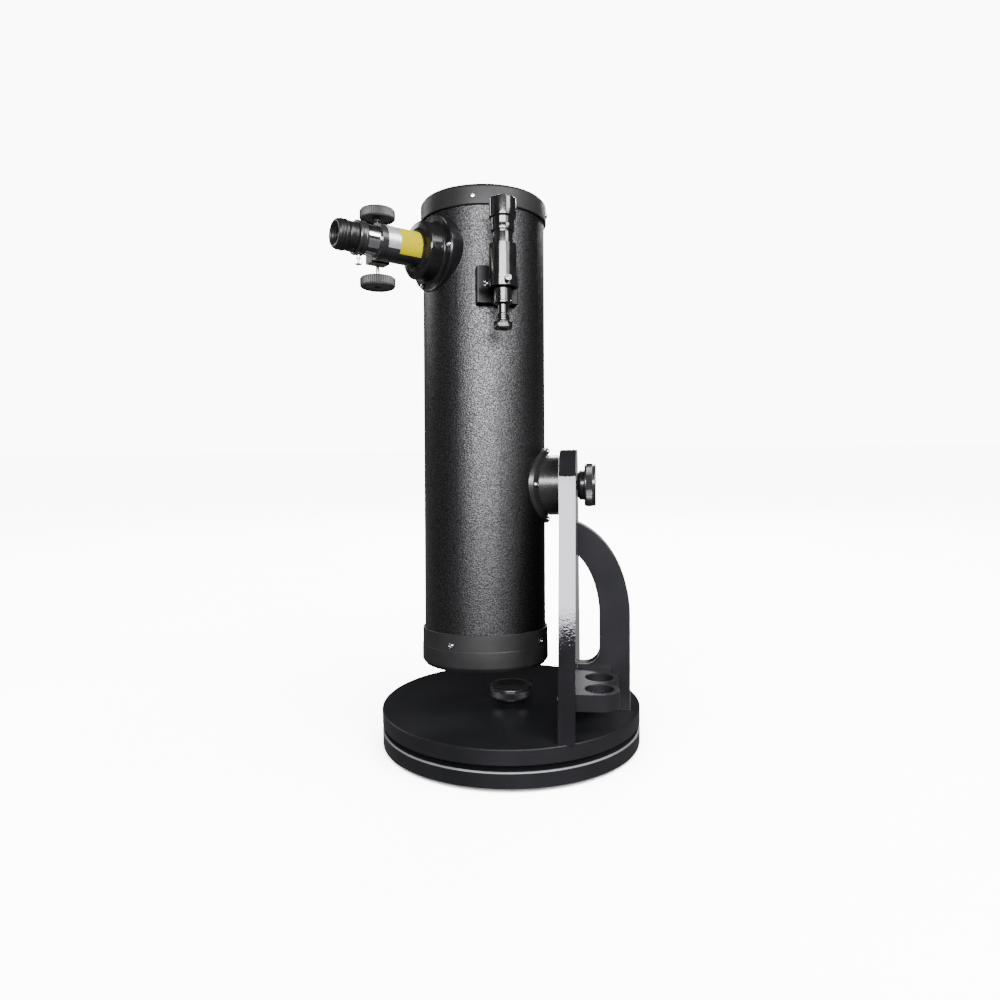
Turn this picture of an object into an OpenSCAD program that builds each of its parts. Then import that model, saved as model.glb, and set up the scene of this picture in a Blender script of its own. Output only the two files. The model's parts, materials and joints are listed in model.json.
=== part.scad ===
// Tabletop Dobsonian telescope: a short reflector on a one-armed turntable.
// Millimetres, +Z up. The origin is on the turning axis, on the table.

/* [Base] */
// Radius of the two round boards
board_r = 170; // [165:1:175]
// Thickness of the ground board
ground_t = 21; // [18:0.5:22]
// Thickness of the turntable board
turn_t = 19.6; // [18:0.2:22]
// Bevel on the edges of both round boards
board_bevel = 1; // [0.5:0.5:2]
// Height of the non-slip ring under the ground board
grip_h = 3; // [2:0.5:5]
// Height of the three low-friction pads
pad_h = 5; // [4:0.5:6]
// Radius of the circle that the pads stand on
pad_circle_r = 122; // [120:1:123]
// Thickness of the smooth ring that the pads rub on
rub_t = 1.8; // [1:0.2:2.4]
// Radius of both pivot bolts
bolt_r = 5; // [4:0.5:6]

/* [Arm, strut and rack] */
// Thickness of the arm, strut and rack boards
plank_t = 20; // [18:0.5:21]
// Inner face of the arm, from the turning axis
arm_x = 69.6; // [69:0.2:72]
// Half width of the arm where it stands on the turntable
arm_half_w = 150; // [140:1:152]
// Radius of the arm's upper corners
arm_corner_r = 42; // [35:1:44]
// Offset of the upper corners' centres from the middle
arm_corner_y = 33; // [25:1:36]
// Height of the arm's top above the altitude axis
arm_over = 45.6; // [40:0.2:50]
// Outer side of the strut, from the turning axis
strut_x = 156.7; // [150:0.1:160]
// Front face of the strut
strut_y = -26; // [-30:1:-22]
// Width of the strut beside the hand opening
strut_w = 39; // [34:1:44]
// Height of the outer curve's centre
strut_curve_z = 171; // [165:1:175]
// Height of the outer curve above its centre
strut_curve_h = 125; // [115:1:130]
// Height of the hand opening's lower edge
hand_z = 109; // [106:1:115]
// Radius of the hand opening's lower corner
hand_corner_r = 19; // [12:1:22]
// Height of the rack's lower face
rack_z = 83; // [75:1:86]
// Radius of the two eyepiece holes
rack_hole_r = 16.5; // [16.2:0.1:17]
// Distance of the holes from the turning axis, across the rack
rack_hole_x = 117; // [115:1:119]
// First and second hole, along the rack
rack_hole_y1 = -62; // [-64:1:-60]
// Distance between the two holes
rack_pitch = 46; // [44:1:50]
// Radius of the rack's rounded outside around each hole
rack_lobe_r = 24; // [22:1:25]
// Bevel at the mouth of each rack hole
rack_bevel = 1; // [0.5:0.5:2]

/* [Tube] */
// Height of the altitude axis
alt_z = 337.4; // [330:0.2:345]
// Place of the tube's axis, across the base
tube_x = -31.2; // [-33:0.1:-30]
// Angle by which the tube leans back at rest
lean = 3.6; // [0:0.1:10]
// Outer radius of the tube
tube_r = 79; // [78:0.5:80]
// Thickness of the tube's wall
tube_wall = 1.2; // [0.8:0.1:1.6]
// Outer radius of both end rings
ring_r = 82; // [81.5:0.5:84]
// Front end of the tube, from the altitude axis
front_s = 365; // [355:1:370]
// Height of the front ring
front_ring_h = 25.6; // [22:0.2:30]
// Rear end of the tube, from the altitude axis
rear_s = -229.7; // [-232:0.1:-226]
// Height of the rear ring
rear_ring_h = 46.8; // [44:0.2:50]
// Inner radius of the front ring's lip
mouth_r = 72; // [70:0.5:74]
// Turn of the front ring's screws and of the spider's vanes
vane_turn = -91; // [-100:1:-80]
// Turn of the rear ring's screws
rear_screw_turn = -113; // [-120:1:-100]

/* [Optics] */
// Radius of the primary mirror
mirror_r = 65; // [64:0.5:66]
// Focal length of the primary mirror
focal_length = 650; // [600:10:700]
// Thickness of the primary mirror
mirror_t = 20; // [16:1:22]
// Front face of the primary mirror, from the altitude axis
mirror_s = -172; // [-176:1:-170]
// Half of the secondary mirror's short axis
secondary_r = 18; // [17:0.5:20]

/* [Altitude bearing] */
// Radius of the flange on the tube
alt_flange_r = 49; // [46:1:52]
// Thickness of the flange
alt_flange_t = 4.5; // [3:0.5:6]
// Radius of the hub
alt_hub_r = 38.8; // [36:0.2:42]
// Thickness of the washer between hub and arm
alt_washer_t = 2.5; // [1.5:0.5:3]

/* [Knobs] */
// Radius of the two big pivot knobs
knob_r = 27.8; // [25:0.2:30]
// Thickness of a pivot knob's head
knob_head_h = 14.6; // [12:0.2:16]
// Length of the azimuth knob's neck
azimuth_neck_h = 6.3; // [5:0.1:8]
// Length of the altitude knob's neck
altitude_neck_h = 9.3; // [6:0.1:10]

/* [Focuser] */
// Place of the focuser's axis along the tube
foc_s = 291; // [286:1:294]
// Turn of the focuser around the tube
foc_turn = 223; // [215:1:230]
// Radius of the focuser's flange
foc_flange_r = 47.8; // [45:0.2:48]
// Distance of the flange's flat face from the tube's axis
foc_face = 80.5; // [78:0.5:84]
// Radius of the raised boss in the middle of the focuser flange
foc_boss_r = 35.6; // [33:0.2:38]
// Distance from the tube's axis to the top edge of the boss
foc_boss_top = 101; // [97:0.5:103]
// Radius of the focuser's body
foc_body_r = 21; // [20.5:0.1:22]
// Outer end of the body, from the tube's axis
foc_body_end = 158; // [155:1:160]
// Outer radius of the drawtube
draw_r = 18.2; // [18:0.1:18.5]
// Outer end of the drawtube, from the tube's axis
draw_end = 174; // [172:1:176]
// Length of the drawtube
draw_l = 100; // [95:1:105]
// Radius of the bore that takes the eyepiece
eyepiece_bore_r = 15.95; // [15.9:0.01:15.97]
// Radius of the eyepiece's barrel
barrel_r = 15.875; // [15.85:0.005:15.89]
// Distance of the pinion from the tube's axis
pinion_rho = 142; // [138:1:146]
// Teeth on the pinion
pinion_teeth = 12; // [10:1:14]
// Gear module of the pinion and its rack
gear_module = 0.8; // [0.7:0.1:0.9]
// Radius of a focus knob
focus_knob_r = 21.8; // [19:0.2:23]
// Distance of a focus knob's inner face from the focuser's axis
focus_knob_off = 35.5; // [34:0.5:37]
// Height of a focus knob
focus_knob_h = 12.8; // [11:0.2:14]

/* [Finder] */
// Turn of the finder around the tube
find_turn = -71; // [-75:1:-68]
// Distance between the finder's axis and the tube's axis
find_rho = 118; // [116:0.5:120]
// Lower end of the shoe, from the altitude axis
shoe_s = 218; // [214:1:222]
// Length of the shoe
shoe_l = 44; // [42:1:50]
// Width of the shoe
shoe_w = 50; // [42:1:52]
// Radius of the bracket's barrel
find_barrel_r = 16; // [15.5:0.1:16.5]
// Lower end of the bracket's barrel
find_barrel_s = 229; // [228:1:233]
// Length of the bracket's barrel
find_barrel_l = 49.4; // [46:0.2:52]

/* [Hidden] */
$fn = 96;
fit = 0.05;          // radial clearance of a shaft in its bore
gap = 0.3;           // clearance between parts that pass each other
over = 1;            // how far a cutter reaches past a face

// Heights of the base, from the table up
z_ground = grip_h;
z_pad = z_ground + ground_t;
z_rub = z_pad + pad_h;
z_turn = z_rub + rub_t;
z_top = z_turn + turn_t;
pad_r = 12;
head_recess_r = 14;
head_recess_h = 9;
washer_t = 1.6;
bolt_head_h = 6.4;
bush_r = 8;
knob_bore_h = 13;
screw_r = 2;
board_screw_r = 3;
board_screw_head_r = 5;
board_screw_spots = [[arm_x + plank_t / 2, -45], [arm_x + plank_t / 2, 45],
    [arm_x + plank_t / 2, -124], [arm_x + plank_t / 2, 124],
    [arm_x + plank_t + 10, strut_y + plank_t / 2], [strut_x - 7, strut_y + plank_t / 2]];
board_screw_l = 45;

// Arm: straight sides that run as tangents into the rounded upper corners
arm_top = alt_z + arm_over;
arm_corner_z = arm_top - arm_corner_r;
side_run = arm_corner_y - arm_half_w;
side_rise = arm_corner_z - z_top;
side_len = sqrt(side_run * side_run + side_rise * side_rise);
side_angle = atan2(side_rise, side_run) - asin(arm_corner_r / side_len);
tangent_len = sqrt(side_len * side_len - arm_corner_r * arm_corner_r);
tangent_y = arm_half_w + tangent_len * cos(side_angle);
tangent_z = z_top + tangent_len * sin(side_angle);
arm_out = arm_x + plank_t;
rack_screw_z = rack_z + plank_t / 2;
rack_front_y = rack_hole_y1 - rack_pitch - rack_lobe_r;
rack_screw_ys = [rack_front_y + 12, strut_y - 20];

// Strut: outer and inner edge are quarter ellipses on one centre
curve_x = 66;
curve_steps = 28;
inner_rx = strut_x - strut_w - curve_x;
inner_rz = 89;

// Tube and rings
tube_in_r = tube_r - tube_wall;
ring_in_r = tube_r + 0.1;
front_screw_s = front_s - 15.4;
rear_screw_s = rear_s + 32.5;
head_r = 3.4;
head_h = 1.9;
sag = mirror_r * mirror_r / (4 * focal_length);
cell_s = mirror_s - mirror_t - 9;
cell_t = 6;
cell_pad_h = 3;
back_s = rear_s + 5.7;
back_t = 4;
collimation_r = 60;
spider_h = 20;
hub_r = 12;
holder_top = foc_s + 34;

// Altitude bearing, measured along X from the turning axis
alt_hub_end = arm_x - alt_washer_t - 0.1;
flange_screw_r = 44;
flange_screw_turn = asin(flange_screw_r / (tube_r + alt_flange_t));
stud_in = 52;
altitude_knob_x = arm_out + 0.5;

// Focuser, measured from the tube's axis
pitch_r = gear_module * pinion_teeth / 2;
draw_flat = 0.6;
rack_t = 2.4;
pinion_y = -(draw_r + rack_t - draw_flat + pitch_r - gear_module + 0.3);
tooth_pitch = PI * gear_module;
pinion_shaft_r = 2.2;
draw_bore_r = draw_r + fit;
collar_l = 11;
body_wall_y = pinion_y - pitch_r - 3;
pinion_block_x = 19.5;
pinion_block_t = 16;

// Finder, heights along the tube
find_tube_r = 11.8;
find_small_r = 10.3;
shoe_top = 91;
adjuster_s = find_barrel_s + 6;
adjuster_turns = [4, 124, 244];
grub_l = shoe_w / 2 - 10;

module on_tube() {
    translate([tube_x, 0, alt_z])
        rotate([-lean, 0, 0])
            children();
}

module on_focuser() {
    on_tube()
        translate([0, 0, foc_s])
            rotate([0, 0, foc_turn])
                rotate([0, 90, 0])
                    children();
}

module on_finder() {
    on_tube()
        rotate([0, 0, find_turn])
            translate([find_rho, 0, 0])
                children();
}

// Tube between two radii
module pipe(outer, inner, h) {
    difference() {
        cylinder(r = outer, h = h);
        translate([0, 0, -over])
            cylinder(r = inner, h = h + 2 * over);
    }
}

// Round board with a small bevel on both edges
module round_board(r, t, bevel) {
    rotate_extrude()
        polygon([[0, 0], [r - bevel, 0], [r, bevel], [r, t - bevel], [r - bevel, t], [0, t]]);
}

// Pan-head screw: head on +Z of the seat, shank below it
module pan_screw(r, l, big_r, big_h) {
    difference() {
        union() {
            translate([0, 0, -l])
                cylinder(r = r, h = l + 0.1);
            rotate_extrude()
                polygon([[0, 0], [big_r, 0], [big_r, big_h * 0.5], [big_r * 0.62, big_h], [0, big_h]]);
        }
        for (turn = [0, 90])
            rotate([0, 0, turn])
                translate([-big_r * 0.6, -0.35, big_h * 0.5])
                    cube([big_r * 1.2, 0.7, big_h]);
    }
}

// Screw-on knob with a flared neck; the bore is open at z = 0
module pivot_knob(neck_h) {
    full_h = neck_h + knob_head_h;
    rotate_extrude()
        polygon([[bolt_r + fit, 0], [15, 0], [18, neck_h * 0.2], [19.5, neck_h * 0.5], [19.5, neck_h],
            [knob_r - 2, neck_h], [knob_r, neck_h + 2], [knob_r, full_h - 2.5],
            [knob_r - 2.5, full_h], [knob_r - 7, full_h], [knob_r - 9, full_h - 1],
            [0, full_h - 1], [0, knob_bore_h], [bolt_r + fit, knob_bore_h]]);
}

module non_slip_ring() {
    color("#1c1c1c")
        pipe(150, 128, grip_h);
}

module ground_board() {
    color("#26262a")
        difference() {
            translate([0, 0, z_ground])
                round_board(board_r, ground_t, board_bevel);
            translate([0, 0, z_ground - over])
                cylinder(r = head_recess_r, h = head_recess_h + over);
            translate([0, 0, z_ground])
                cylinder(r = bolt_r + gap, h = ground_t + over);
        }
}

module azimuth_bolt() {
    bolt_l = z_top + knob_bore_h - 1 - z_ground - head_recess_h;
    color("#b8b8ba")
        translate([0, 0, z_ground + head_recess_h - washer_t]) {
            translate([0, 0, -bolt_head_h])
                cylinder(r = 9.8, h = bolt_head_h, $fn = 6);
            cylinder(r = bolt_r, h = bolt_l + washer_t);
        }
}

module azimuth_washer() {
    color("#c4c4c4")
        translate([0, 0, z_ground + head_recess_h - washer_t])
            pipe(12, bolt_r + fit, washer_t);
}

module bearing_pads() {
    color("#e8e8e2")
        for (turn = [30, 150, 270])
            rotate([0, 0, turn])
                translate([pad_circle_r, 0, z_pad])
                    cylinder(r = pad_r, h = pad_h);
}

module rub_ring() {
    color("#3a3a3e")
        translate([0, 0, z_rub])
            pipe(pad_circle_r + pad_r + 1, pad_circle_r - pad_r - 1, rub_t);
}

module azimuth_bush() {
    color("#d9d4c0")
        translate([0, 0, z_turn - 1.5])
            difference() {
                union() {
                    cylinder(r = bush_r + 4, h = 1.5);
                    cylinder(r = bush_r, h = turn_t + 1.5);
                }
                translate([0, 0, -over])
                    cylinder(r = bolt_r + fit, h = turn_t + 3 * over);
            }
}

module turntable_board() {
    color("#202024")
        difference() {
            translate([0, 0, z_turn])
                round_board(board_r, turn_t, board_bevel);
            translate([0, 0, z_turn - over])
                cylinder(r = bush_r + fit, h = turn_t + 2 * over);
            for (spot = board_screw_spots)
                translate([spot[0], spot[1], z_turn - over]) {
                    cylinder(r = board_screw_head_r + gap, h = 4 + over);
                    cylinder(r = board_screw_r + fit, h = turn_t + 2 * over);
                }
        }
}

module board_screws() {
    color("#9a9a9c")
        for (spot = board_screw_spots)
            translate([spot[0], spot[1], z_turn + 0.5]) {
                cylinder(r = board_screw_head_r, h = 3.4);
                cylinder(r = board_screw_r, h = board_screw_l);
            }
}

module arm_outline() {
    polygon([[-arm_half_w, z_top], [arm_half_w, z_top], [tangent_y, tangent_z],
        [arm_corner_y, arm_top], [-arm_corner_y, arm_top], [-tangent_y, tangent_z]]);
    for (side = [-1, 1])
        translate([side * arm_corner_y, arm_corner_z])
            circle(r = arm_corner_r);
}

module side_arm() {
    color("#1b1b1e")
        difference() {
            translate([arm_x, 0, 0])
                rotate([90, 0, 90])
                    linear_extrude(height = plank_t)
                        arm_outline();
            translate([arm_x - over, 0, alt_z])
                rotate([0, 90, 0])
                    cylinder(r = bush_r + fit, h = plank_t + 2 * over);
            for (i = [0:3])
                translate([board_screw_spots[i][0], board_screw_spots[i][1], z_top - over])
                    cylinder(r = board_screw_r + fit, h = board_screw_l);
            for (y = rack_screw_ys)
                translate([arm_x - over, y, rack_screw_z])
                    rotate([0, 90, 0])
                        cylinder(r = screw_r + fit, h = plank_t + 2 * over);
        }
}

function ellipse_arc(rx, rz, from, to) =
    [for (i = [0:curve_steps])
        let (a = from + (to - from) * i / curve_steps)
            [curve_x + rx * cos(a), strut_curve_z + rz * sin(a)]];

module carry_strut() {
    outer_rx = strut_x - curve_x;
    start_out = acos((arm_out - curve_x) / outer_rx);
    start_in = acos((arm_out - curve_x) / inner_rx);
    inner_x = curve_x + inner_rx;
    corner = [for (i = [0:8])
        [inner_x - hand_corner_r + hand_corner_r * cos(90 * i / 8),
            hand_z + hand_corner_r - hand_corner_r * sin(90 * i / 8)]];
    color("#1e1e21")
        difference() {
            translate([0, strut_y + plank_t, 0])
                rotate([90, 0, 0])
                    linear_extrude(height = plank_t)
                        polygon(concat([[arm_out, z_top], [strut_x, z_top]],
                            ellipse_arc(outer_rx, strut_curve_h, 0, start_out),
                            ellipse_arc(inner_rx, inner_rz, start_in, 0),
                            corner, [[arm_out, hand_z]]));
            for (i = [4, 5])
                translate([board_screw_spots[i][0], board_screw_spots[i][1], z_top - over])
                    cylinder(r = board_screw_r + fit, h = board_screw_l);
        }
}

module eyepiece_rack() {
    hole_ys = [rack_hole_y1, rack_hole_y1 - rack_pitch];
    color("#1e1e21")
        difference() {
            translate([0, 0, rack_z])
                linear_extrude(height = plank_t) {
                    polygon([[arm_out, rack_front_y], [rack_hole_x, rack_front_y],
                        [rack_hole_x, strut_y], [arm_out, strut_y]]);
                    for (y = hole_ys)
                        translate([rack_hole_x, y])
                            circle(r = rack_lobe_r);
                    translate([rack_hole_x - over, rack_hole_y1])
                        square([16, strut_y - rack_hole_y1]);
                }
            for (y = hole_ys)
                translate([rack_hole_x, y, rack_z]) {
                    translate([0, 0, -over])
                        cylinder(r = rack_hole_r, h = plank_t + 2 * over);
                    translate([0, 0, plank_t - rack_bevel])
                        cylinder(r1 = rack_hole_r, r2 = rack_hole_r + 2 * rack_bevel, h = 2 * rack_bevel);
                }
            for (y = rack_screw_ys)
                translate([arm_out - over, y, rack_screw_z])
                    rotate([0, 90, 0])
                        cylinder(r = screw_r + fit, h = 8);
        }
}

module rack_screws() {
    color("#c9c9cb")
        for (y = rack_screw_ys)
            translate([arm_x, y, rack_screw_z])
                rotate([0, -90, 0])
                    pan_screw(screw_r, plank_t + 6, head_r, head_h);
}

module altitude_bush() {
    color("#d9d4c0")
        translate([arm_x, 0, alt_z])
            rotate([0, 90, 0])
                pipe(bush_r, bolt_r + fit, plank_t);
}

module azimuth_knob() {
    color("#151517")
        translate([0, 0, z_top + 0.2])
            pivot_knob(azimuth_neck_h);
}

module altitude_knob() {
    color("#151517")
        translate([altitude_knob_x, 0, alt_z])
            rotate([0, 90, 0])
                pivot_knob(altitude_neck_h);
}

module altitude_stud() {
    color("#b8b8ba")
        translate([stud_in, 0, alt_z])
            rotate([0, 90, 0])
                cylinder(r = bolt_r, h = altitude_knob_x + knob_bore_h - 1 - stud_in);
}

module altitude_washer() {
    color("#e4e4de")
        translate([arm_x - alt_washer_t - fit, 0, alt_z])
            rotate([0, 90, 0])
                pipe(alt_hub_r - 1, bolt_r + fit, alt_washer_t);
}

module altitude_flange() {
    color("#18181b")
        difference() {
            union() {
                on_tube()
                    intersection() {
                        rotate([0, 90, 0])
                            cylinder(r = alt_flange_r, h = 2 * tube_r);
                        translate([0, 0, -tube_r])
                            cylinder(r = tube_r + alt_flange_t, h = 2 * tube_r);
                    }
                translate([tube_x, 0, alt_z])
                    rotate([0, 90, 0])
                        cylinder(r = alt_hub_r, h = alt_hub_end - tube_x);
            }
            on_tube()
                translate([0, 0, -tube_r])
                    cylinder(r = tube_r + fit, h = 2 * tube_r);
            translate([stud_in - 0.1, 0, alt_z])
                rotate([0, 90, 0])
                    cylinder(r = bolt_r + fit, h = 2 * alt_hub_r);
            at_flange_screws()
                translate([0, 0, -20])
                    cylinder(r = screw_r + fit, h = 30);
        }
}

// The four screws of the altitude flange, square to the tube's wall
module at_flange_screws() {
    on_tube()
        for (spot = [[flange_screw_turn, 0], [-flange_screw_turn, 0],
                     [0, flange_screw_r], [0, -flange_screw_r]])
            translate([0, 0, spot[1]])
                rotate([0, 0, spot[0]])
                    translate([tube_r + alt_flange_t, 0, 0])
                        rotate([0, 90, 0])
                            children();
}

module altitude_flange_screws() {
    color("#c9c9cb")
        at_flange_screws()
            pan_screw(screw_r, alt_flange_t + 4, head_r, head_h);
}

// Four screws at 90 degrees around an end ring
module at_ring_screws(s, turn) {
    on_tube()
        for (i = [0:3])
            rotate([0, 0, turn + 90 * i])
                translate([ring_r, 0, s])
                    rotate([0, 90, 0])
                        children();
}

module tube() {
    color("#2b2b2d")
        difference() {
            on_tube()
                translate([0, 0, back_s + back_t + gap])
                    pipe(tube_r, tube_in_r, front_s - 3 - gap - back_s - back_t - gap);
            on_focuser()
                cylinder(r = draw_bore_r + 4, h = 2 * tube_r);
            at_flange_screws()
                translate([0, 0, -20])
                    cylinder(r = screw_r + fit, h = 30);
            at_ring_screws(front_screw_s, vane_turn)
                translate([0, 0, -10])
                    cylinder(r = screw_r + fit, h = 12);
            at_ring_screws(rear_screw_s, rear_screw_turn)
                translate([0, 0, -10])
                    cylinder(r = screw_r + fit, h = 12);
            at_focuser_screws()
                translate([0, 0, -40])
                    cylinder(r = screw_r + fit, h = 40);
            at_shoe_screws()
                translate([0, 0, -10])
                    cylinder(r = screw_r + fit, h = 20);
        }
}

module front_ring() {
    color("#202023")
        difference() {
            on_tube()
                rotate_extrude()
                    polygon([[ring_in_r, front_s - front_ring_h], [ring_r - 0.5, front_s - front_ring_h],
                        [ring_r, front_s - front_ring_h + 0.5], [ring_r, front_s - 3],
                        [ring_r - 0.8, front_s - 0.9], [ring_r - 2.6, front_s], [mouth_r, front_s],
                        [mouth_r, front_s - 3], [ring_in_r, front_s - 3]]);
            at_ring_screws(front_screw_s, vane_turn)
                translate([0, 0, -10])
                    cylinder(r = screw_r + fit, h = 12);
        }
}

module rear_ring() {
    color("#202023")
        difference() {
            on_tube()
                rotate_extrude()
                    polygon([[ring_in_r, rear_s + rear_ring_h], [ring_r - 0.5, rear_s + rear_ring_h],
                        [ring_r, rear_s + rear_ring_h - 0.5], [ring_r, rear_s + 6],
                        [ring_r - 1.5, rear_s + 1.8], [ring_r - 4.5, rear_s], [ring_r - 8, rear_s],
                        [ring_r - 8, back_s], [44, back_s], [44, back_s + back_t],
                        [ring_in_r, back_s + back_t]]);
            at_ring_screws(rear_screw_s, rear_screw_turn)
                translate([0, 0, -10])
                    cylinder(r = screw_r + fit, h = 12);
            at_collimation(0)
                translate([0, 0, back_s - over])
                    cylinder(r = screw_r + 0.2, h = back_t + 2 * over);
            at_collimation(60)
                translate([0, 0, back_s - over])
                    cylinder(r = screw_r + 0.2, h = back_t + 2 * over);
        }
}

module ring_screws() {
    color("#d0d0d2") {
        at_ring_screws(front_screw_s, vane_turn)
            pan_screw(screw_r, 7, head_r, head_h);
        at_ring_screws(rear_screw_s, rear_screw_turn)
            pan_screw(screw_r, 6, head_r, head_h);
    }
}

// Three places at 120 degrees around the mirror cell
module at_collimation(turn) {
    on_tube()
        for (i = [0:2])
            rotate([0, 0, turn + 120 * i])
                translate([collimation_r, 0, 0])
                    children();
}

module mirror_cell() {
    color("#6c6c70")
        difference() {
            on_tube()
                translate([0, 0, cell_s])
                    pipe(73, 22, cell_t);
            at_collimation(0)
                translate([0, 0, cell_s - over])
                    cylinder(r = screw_r + fit, h = cell_t + 2 * over);
        }
}

module mirror_pads() {
    color("#a07850")
        at_collimation(30)
            translate([-18, 0, cell_s + cell_t])
                cylinder(r = 9, h = cell_pad_h);
}

// The front face is hollowed to a paraboloid, in rings
module primary_mirror() {
    color("#dfe6ea")
        on_tube()
            translate([0, 0, mirror_s - mirror_t])
                rotate_extrude()
                    polygon(concat([[0, 0], [mirror_r, 0], [mirror_r, mirror_t]],
                        [for (i = [7:-1:0])
                            let (r = (mirror_r - 1) * i / 7)
                                [r, mirror_t - sag + r * r / (4 * focal_length)]]));
}

module mirror_clips() {
    clip_h = mirror_s + 2 - cell_s - cell_t;
    color("#303034")
        at_collimation(90)
            translate([mirror_r + 0.5 - collimation_r, -6, cell_s + cell_t]) {
                cube([3, 12, clip_h]);
                translate([-5, 0, clip_h - 1.7])
                    cube([5.2, 12, 1.7]);
            }
}

module collimation_screws() {
    color("#c9c9cb") {
        at_collimation(0) {
            translate([0, 0, back_s - 3.5])
                cylinder(r = 4.5, h = 3.3);
            translate([0, 0, back_s - 0.4])
                cylinder(r = screw_r, h = cell_s + cell_t - back_s);
        }
        at_collimation(60) {
            translate([0, 0, back_s - 3.5])
                cylinder(r = 3.4, h = 3.3);
            translate([0, 0, back_s - 0.4])
                cylinder(r = screw_r, h = cell_s - back_s + 0.3);
        }
    }
}

module collimation_springs() {
    color("#b0b0b2")
        at_collimation(0)
            translate([0, 0, back_s + back_t])
                pipe(4.6, 3.4, cell_s - back_s - back_t);
}

module spider() {
    color("#1c1c1e")
        difference() {
            on_tube()
                translate([0, 0, front_screw_s - spider_h / 2]) {
                    pipe(hub_r, 3 + fit, spider_h);
                    for (i = [0:3])
                        rotate([0, 0, vane_turn + 90 * i]) {
                            translate([hub_r - 0.5, -0.5, 0])
                                cube([tube_in_r - 3 - hub_r + 0.7, 1, spider_h]);
                            translate([tube_in_r - 3.2, -3.5, 0])
                                cube([2.8, 7, spider_h]);
                        }
                }
            at_ring_screws(front_screw_s, vane_turn)
                translate([0, 0, -8])
                    cylinder(r = screw_r + fit, h = 12);
            at_secondary_screws()
                translate([0, 0, -over])
                    cylinder(r = 1.5 + fit, h = 60);
        }
}

// Three adjusting screws around the middle of the spider's hub
module at_secondary_screws() {
    on_tube()
        for (i = [0:2])
            rotate([0, 0, foc_turn + 120 * i])
                translate([7.6, 0, holder_top])
                    children();
}

module secondary_screws() {
    hub_top = front_screw_s + spider_h / 2;
    color("#c9c9cb") {
        on_tube() {
            translate([0, 0, holder_top - 10])
                cylinder(r = 3, h = hub_top - holder_top + 10);
            translate([0, 0, hub_top])
                cylinder(r = 4.5, h = 1.8);
        }
        at_secondary_screws() {
            translate([0, 0, 0.1])
                cylinder(r = 1.5, h = hub_top - holder_top);
            translate([0, 0, hub_top - holder_top])
                cylinder(r = 2.4, h = 1.6);
        }
    }
}

module secondary_side(depth, thick) {
    rotate([0, 0, foc_turn])
        translate([0, 0, foc_s])
            rotate([0, -45, 0])
                translate([-60, -30, depth])
                    cube([120, 60, thick]);
}

module secondary_holder() {
    color("#1c1c1e")
        on_tube()
            difference() {
                intersection() {
                    translate([0, 0, foc_s - 2 * secondary_r])
                        cylinder(r = secondary_r - 1, h = holder_top - foc_s + 2 * secondary_r);
                    secondary_side(6, 80);
                }
                translate([0, 0, holder_top - 10.5])
                    cylinder(r = 3 + fit, h = 20);
            }
}

module secondary_mirror() {
    color("#dfe6ea")
        on_tube()
            intersection() {
                translate([0, 0, foc_s - 2 * secondary_r])
                    cylinder(r = secondary_r, h = 4 * secondary_r);
                secondary_side(0, 5.9);
            }
}

module at_focuser_screws() {
    on_focuser()
        for (i = [0:2])
            rotate([0, 0, 90 + 120 * i])
                translate([42.5, 0, foc_face])
                    children();
}

module focuser_flange() {
    color("#0e0e12")
        difference() {
            on_focuser()
                difference() {
                    rotate_extrude()
                        polygon([[0, 30], [foc_flange_r, 30], [foc_flange_r, foc_face - 2],
                            [foc_flange_r - 2, foc_face], [foc_boss_r + 1.8, foc_face],
                            [foc_boss_r, foc_face + 1.8], [foc_boss_r, foc_boss_top - 2.2],
                            [foc_boss_r - 2.2, foc_boss_top], [26, foc_boss_top + 1.2],
                            [23.5, foc_boss_top + 2.8], [0, foc_boss_top + 2.8]]);
                    translate([0, 0, 20])
                        cylinder(r = foc_body_r + fit, h = 100);
                }
            on_tube()
                cylinder(r = tube_r + fit, h = 2 * front_s);
            at_focuser_screws()
                translate([0, 0, -40])
                    cylinder(r = screw_r + fit, h = 50);
        }
}

module focuser_flange_screws() {
    color("#d8c890")
        at_focuser_screws()
            pan_screw(screw_r, foc_face - 56, head_r, head_h);
}

module focuser_body() {
    color("#141417")
        difference() {
            on_focuser()
                difference() {
                    union() {
                        cylinder(r = foc_body_r, h = foc_body_end);
                        translate([0, 0, foc_body_end - 6])
                            cylinder(r = foc_body_r + 0.6, h = 6);
                        translate([-pinion_block_x, body_wall_y, pinion_rho - 12])
                            cube([2 * pinion_block_x, pinion_block_t, 24]);
                        translate([-9, body_wall_y, pinion_rho - 12])
                            cube([18, -body_wall_y, 24]);
                    }
                    translate([0, 0, -over])
                        cylinder(r = draw_bore_r, h = foc_body_end + 2 * over);
                    translate([-2.6, pinion_y, -over])
                        cube([5.2, -pinion_y, foc_body_end + 2 * over]);
                    translate([-pinion_block_x - over, pinion_y, pinion_rho])
                        rotate([0, 90, 0])
                            cylinder(r = pinion_shaft_r + fit, h = 2 * pinion_block_x + 2 * over);
                    translate([-2.9, pinion_y, pinion_rho])
                        rotate([0, 90, 0])
                            cylinder(r = pitch_r + gear_module + gap, h = 5.8);
                }
            on_tube()
                cylinder(r = tube_r + fit, h = 2 * front_s);
        }
}

// Plain sticker around part of the body, thin, on the side that faces up and outward
module body_band(from_rho, to_rho, from_turn, to_turn) {
    on_focuser()
        translate([0, 0, from_rho])
            rotate([0, 0, from_turn])
                rotate_extrude(angle = to_turn - from_turn)
                    translate([foc_body_r + 0.02, 0])
                        square([0.25, to_rho - from_rho]);
}

module yellow_band() {
    color("#f4ef10")
        body_band(foc_boss_top + 3, 133, 48, 215);
}

module silver_band() {
    color("#c8ccd0")
        body_band(133.2, 149.5, 62, 215);
}

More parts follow.
